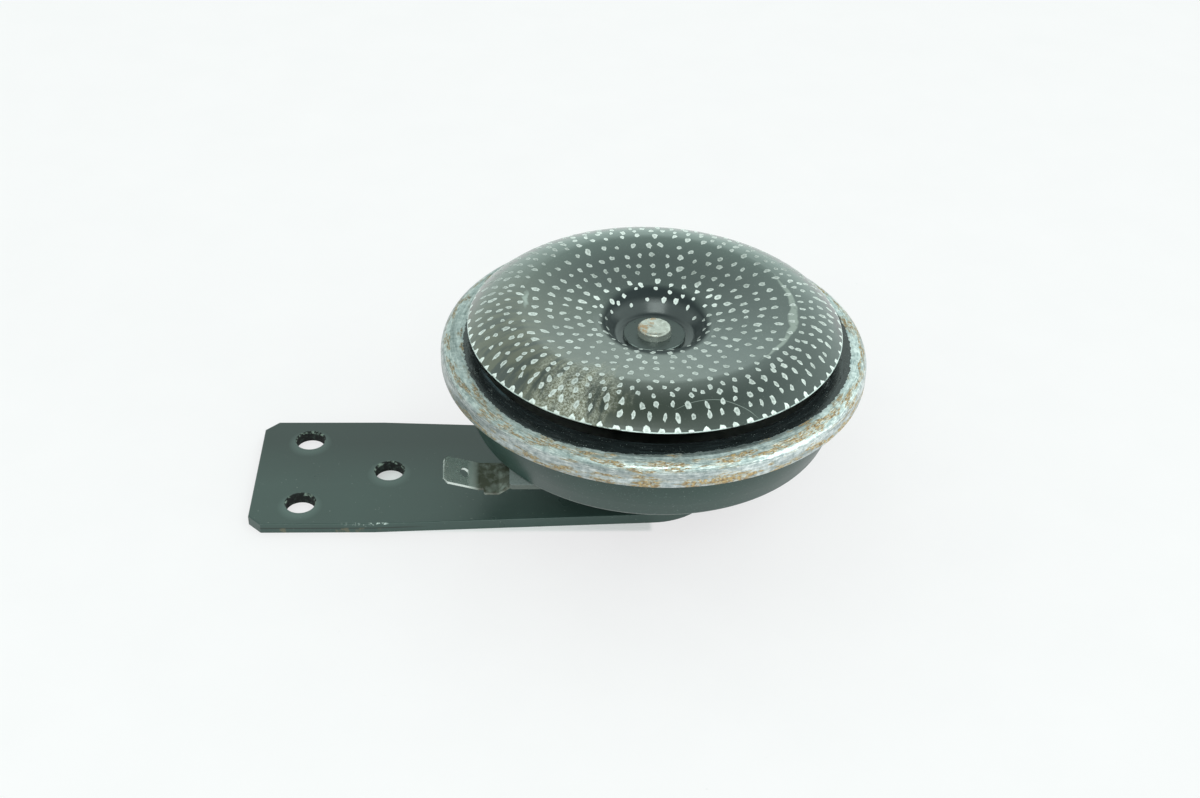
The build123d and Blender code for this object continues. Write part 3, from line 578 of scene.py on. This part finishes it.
# %% One spot
SPOT_CORNERS = 10                   # few, because the spot is repeated hundreds of times


def clear_selection():
    """Leaves edit mode, and deselects everything."""
    if bpy.context.object and bpy.context.object.mode != "OBJECT":
        bpy.ops.object.mode_set(mode="OBJECT")
    bpy.ops.object.select_all(action="DESELECT")


def model_spot():
    """A low blister, 1 unit in radius and height, with a rubbed rim and a slightly hollow top."""
    clear_selection()
    bpy.ops.mesh.primitive_circle_add(vertices=SPOT_CORNERS, radius=1, fill_type="NGON")
    spot = bpy.context.object
    spot.name = "spot"
    bpy.ops.object.mode_set(mode="EDIT")
    bpy.ops.mesh.select_all(action="SELECT")
    bpy.ops.mesh.extrude_region_move(TRANSFORM_OT_translate={"value": (0, 0, 1)})
    bpy.ops.transform.resize(value=(0.86, 0.86, 1))
    bpy.ops.mesh.inset(thickness=0.30, depth=-0.12)
    bpy.ops.mesh.inset(thickness=0.26, depth=-0.30)
    bpy.ops.object.mode_set(mode="OBJECT")
    rubbed = spot.data.attributes.new("rubbed", "FLOAT", "POINT")
    for vertex in spot.data.vertices:
        rubbed.data[vertex.index].value = 0.0 if hypot(vertex.co.x, vertex.co.y) < 0.5 else 1.0
    return spot


spot = model_spot()
print("spot:", len(spot.data.polygons), "faces, from", min(v.co.z for v in spot.data.vertices),
      "to", max(v.co.z for v in spot.data.vertices))

# %% Where the spots lie
# Each ring: its radius, how many spots, and their size along the radius and round the ring, in mm.
SPOT_RINGS = [
    (10.6, 20, 0.9, 1.1),
    (12.2, 22, 1.1, 1.3),
    (14.4, 28, 1.7, 1.4),
    (17.0, 30, 1.9, 1.35),
    (19.8, 42, 1.8, 1.3),
    (23.1, 46, 1.8, 1.35),
    (26.6, 48, 1.8, 1.3),
    (29.8, 50, 1.7, 1.3),
    (32.1, 66, 1.6, 1.15),
    (34.0, 62, 1.6, 1.2),
    (36.2, 68, 1.8, 1.15),
    (38.3, 80, 1.7, 1.05),
]
EDGE_SPOTS = 82                     # one more ring, cut off by the disc's edge
EDGE_RADIUS = 40.9
SPOT_HEIGHT = 0.09 * MM
disc_surface = BVHTree.FromObject(NODES["resonator_disc"], bpy.context.evaluated_depsgraph_get())


def on_disc(x, y, height):
    """A point at a height over the disc's upper face."""
    reach = hypot(x, y)
    inside = min(1.0, EDGE_RADIUS * MM / reach)
    point, facing, _, _ = disc_surface.ray_cast(Vector((x * inside, y * inside, 0.1)),
                                                Vector((0, 0, -1)))
    return point + facing * height


def lay_spot(radius, angle, length, width, twist):
    """A copy of the spot on the disc, chipped to an uneven drop, its points on the surface."""
    laid = bpy.data.objects.new("laid_spot", spot.data.copy())
    bpy.context.scene.collection.objects.link(laid)
    x, y = radius * cos(angle), radius * sin(angle)
    heading = angle + twist
    uneven = [chance.uniform(0.72, 1.25) for _ in range(SPOT_CORNERS)]
    pointed = chance.uniform(-0.05, 0.30)
    for vertex in laid.data.vertices:
        swell = uneven[vertex.index % SPOT_CORNERS]
        along = vertex.co.x * swell * length / 2
        across = vertex.co.y * swell * width / 2 * (1 + pointed * vertex.co.x)
        vertex.co = on_disc(x + along * cos(heading) - across * sin(heading),
                            y + along * sin(heading) + across * cos(heading),
                            (vertex.co.z - 0.5) * SPOT_HEIGHT)
    return laid


# %% Lay them in their rings
chance = Random(7)
spots = []
for radius, count, length, width in SPOT_RINGS:
    start = chance.random()
    for i in range(count):
        angle = (i + start + chance.gauss(0, 0.09)) * 2 * pi / count
        size = chance.uniform(0.75, 1.15) * MM
        spots.append(lay_spot((radius + chance.gauss(0, 0.28)) * MM, angle,
                              length * size * chance.uniform(0.8, 1.2), width * size,
                              chance.gauss(0, 0.3)))
for i in range(EDGE_SPOTS):
    angle = (i + chance.gauss(0, 0.08)) * 2 * pi / EDGE_SPOTS
    spots.append(lay_spot((EDGE_RADIUS + chance.gauss(0, 0.1)) * MM, angle,
                          1.6 * MM, chance.uniform(1.2, 1.7) * MM, chance.gauss(0, 0.2)))
print(len(spots), "spots")

# %% Join them into one piece
clear_selection()
for piece in spots:
    piece.select_set(True)
bpy.context.view_layer.objects.active = spots[0]
bpy.ops.object.join()
worn_spots = bpy.context.object
worn_spots.name = "worn_spots"
bpy.data.objects.remove(spot)
print("worn_spots:", len(worn_spots.data.polygons), "faces")

# %% Their rubbed metal
rubbed_metal = Finish("rubbed_metal")
film = rubbed_metal.cloud(0.5 * MM, 3, 0.6)
rubbed = rubbed_metal.node("Attribute", {"attribute_name": "rubbed"}, output="Fac")
patchy = rubbed_metal.cloud(7 * MM, 3, aside=0.3)
bright = rubbed * 0.25 + film.above(0.5, 0.4) * 0.5 + (patchy - 0.45) * 0.8
at_edge = rubbed_metal.radius.above(39.8 * MM, 0.4 * MM)
# painted glints on the spots in the far side of the bowl, painted sheen on those on the far side, and
# painted shade on those in the far dish
bowl_spot_glints = rubbed_metal.radius.below(16 * MM, 3 * MM) * rubbed_metal.y.above(4 * MM, 4 * MM)
far_spot_sheen = rubbed_metal.y.above(22 * MM, 20 * MM)
far_dish_spot_shade = rubbed_metal.y.between(13 * MM, 27 * MM, 6 * MM)
bright = bright + at_edge * 0.3 + bowl_spot_glints * 0.5 + far_spot_sheen * 0.4 - far_dish_spot_shade * 0.3
spot_colour = rubbed_metal.mix(bright.clamped(), tone(132, 135, 131), tone(240, 240, 238))
rubbed_metal.set(Base_Color=spot_colour, Roughness=0.5, Metallic=0.2)
rubbed_metal.bump(film, 0.03 * MM)
worn_spots.data.materials.clear()
worn_spots.data.materials.append(rubbed_metal.material)
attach(worn_spots, "sounder")
print(rubbed_metal.material.name, "is on", worn_spots.name)

# %% [markdown]
# ## The two springs
#
# The diaphragm is clamped at its edge and carries the disc at its middle, so it bends a little with
# every stroke, and the tip of the contact breaker's arm gives way before the armature when the disc
# is drawn down. Here each is a copy whose triangles share their corners.

# %% Copies with shared corners
def merged_copy(name):
    """A copy of a CAD node whose loose triangles share their corners again."""
    clear_selection()
    copy = bpy.data.objects.new("flexing_" + name, NODES[name].data.copy())
    bpy.context.scene.collection.objects.link(copy)
    bpy.context.view_layer.objects.active = copy
    copy.select_set(True)
    bpy.ops.object.mode_set(mode="EDIT")
    bpy.ops.mesh.select_all(action="SELECT")
    bpy.ops.mesh.remove_doubles(threshold=1e-6)
    bpy.ops.object.mode_set(mode="OBJECT")
    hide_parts(name)
    print(copy.name, len(copy.data.polygons), "faces")
    return copy


# %% Diaphragm
spring_steel = plain_finish("diaphragm_steel", (116, 118, 116), (150, 152, 148), 0.36, 1.0, 3 * MM)
skin = merged_copy("diaphragm")
skin.data.materials[0] = spring_steel.material
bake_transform(skin)

# %% Contact arm
arm = merged_copy("contact_arm")
arm.data.materials[0] = bronze.material
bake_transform(arm)

# %% [markdown]
# ## The studio
#
# The horn lies on white paper under soft light. The paper is lit like everything else, but what the
# camera and reflections see of it is lifted towards white, so the shadow stays and no lamp has to
# be brighter than life.

# %% Paper floor
FLOOR_RADIUS = 9                    # both in metres: so wide that its edge is never seen
INNER_RADIUS = 0.6                  # a smaller ring of edges, round the horn

clear_selection()
bpy.ops.mesh.primitive_circle_add(vertices=128, radius=FLOOR_RADIUS, fill_type="NGON")
floor = bpy.context.object
floor.name = "paper_floor"
bpy.ops.object.mode_set(mode="EDIT")
bpy.ops.mesh.select_all(action="SELECT")
bpy.ops.mesh.inset(thickness=FLOOR_RADIUS - INNER_RADIUS)
bpy.ops.object.mode_set(mode="OBJECT")
print("floor:", len(floor.data.polygons), "faces")

# %% Paper
paper = Finish("paper")
mottle = paper.cloud(22 * MM, 4, 0.6)
grit = paper.cloud(1.1 * MM, 3, 0.6, aside=0.4).above(0.76, 0.03)
paper_tone = paper.mix(mottle, tone(250, 251, 251), tone(254, 254, 254))
paper_tone = paper.mix(grit * 0.35, paper_tone, tone(205, 210, 208))
glow_tone = paper.mix(mottle, tone(248, 244, 246), tone(252, 248, 250))
glow_tone = paper.mix(grit * 0.35, glow_tone, tone(205, 210, 208))
paper.set(Base_Color=paper_tone, Roughness=0.85)
# painted shadow: under the strap, seen through its holes, the paper is lifted less towards white
strap_shadow = paper.x.above(-66 * MM, 12 * MM) * abs(paper.y).below(19 * MM, 1 * MM)
strap_shadow = strap_shadow * paper.x.below(0, 1 * MM)
seen = paper.node("LightPath", output="Is Camera Ray")
seen = seen.either(paper.node("LightPath", output="Is Glossy Ray"))
seen = seen.either(paper.node("LightPath", output="Is Transmission Ray"))
glow = paper.node("Emission", {}, {"Color": glow_tone, "Strength": 1.0}, "Emission")
lit = Value(paper, paper.shader.outputs[0])
lifted = paper.node("MixShader", {}, {0: seen * (0.70 - strap_shadow * 0.35), 1: lit, 2: glow},
                    "Shader")
paper.tree.links.new(lifted.socket, paper.tree.nodes["Material Output"].inputs["Surface"])
floor.data.materials.append(paper.material)
print(paper.material.name, "is on", floor.name)

# %% Sky
# bright from the sides, and dimmer towards straight above
SKY_LOW = (1.12, 1.36, 1.28, 1)
SKY_HIGH = (0.74, 0.88, 0.83, 1)
SKY_TOP = (0.26, 0.32, 0.30, 1)
BLACK = (0, 0, 0, 1)

world = bpy.data.worlds.new("studio")
bpy.context.scene.world = world
world.use_nodes = True
sky = Graph(world.node_tree)
east, _, height = sky.split(sky.node("TexCoord", output="Generated"))
dome = sky.node("ValToRGB", {"stops": [
    (0.0, SKY_LOW),
    (0.58, SKY_LOW),
    (0.86, SKY_HIGH),
    (1.0, SKY_TOP),
]}, {0: height.clamped()})
dim_side = sky.mix(0.18, dome, BLACK)
background = world.node_tree.nodes["Background"]
sky.feed(background.inputs["Color"], sky.mix(east.above(0, 1.6), dim_side, dome))
background.inputs["Strength"].default_value = 1.0
print("sky:", len(world.node_tree.nodes), "nodes")


# %% Lamps
def softbox(name, azimuth, elevation, distance, width, height, power):
    """A rectangular lamp that looks at the horn: angles in degrees, lengths in metres."""
    lamp = bpy.data.objects.new(name, bpy.data.lights.new(name, "AREA"))
    bpy.context.scene.collection.objects.link(lamp)
    lamp.data.shape = "RECTANGLE"
    lamp.data.size = width
    lamp.data.size_y = height
    lamp.data.energy = power
    lamp.data.color = (0.88, 1.0, 0.96)
    direction = Vector((cos(radians(elevation)) * cos(radians(azimuth)),
                        cos(radians(elevation)) * sin(radians(azimuth)),
                        sin(radians(elevation))))
    lamp.location = direction * distance
    lamp.rotation_euler = direction.to_track_quat("Z", "Y").to_euler()
    print(name, power, "W")


softbox("front_softbox", -97, 44, 1.1, 0.7, 0.35, 2.5)
softbox("side_softbox", -24, 6, 1.2, 0.6, 0.2, 4.5)

# %% Camera
PIVOT_HEIGHT = 43.3 * MM            # the camera swings about this height on the horn's axis
CAMERA_TURN = -3.58                 # degrees round the horn
CAMERA_RISE = 35.21                 # degrees above the floor
CAMERA_ROLL = 2.06                  # degrees about its own line of sight
CAMERA_OFFSET = (-12.03 * MM, -16.74 * MM, 365.2 * MM)

camera = bpy.data.objects.new("camera", bpy.data.cameras.new("camera"))
bpy.context.scene.collection.objects.link(camera)
camera.data.lens = 50
camera.data.sensor_width = 36
camera.data.clip_start = 0.01
camera.data.clip_end = 50
camera.matrix_world = (
    Matrix.Translation((0, 0, PIVOT_HEIGHT))
    @ Matrix.Rotation(radians(CAMERA_TURN), 4, "Z")
    @ Matrix.Rotation(radians(90 - CAMERA_RISE), 4, "X")
    @ Matrix.Rotation(radians(CAMERA_ROLL), 4, "Z")
    @ Matrix.Translation(CAMERA_OFFSET)
)
bpy.context.scene.camera = camera
bpy.context.scene.view_settings.view_transform = "Standard"
print("camera at", [round(c, 3) for c in camera.matrix_world.translation])

# %% Finish
bpy.context.view_layer.update()
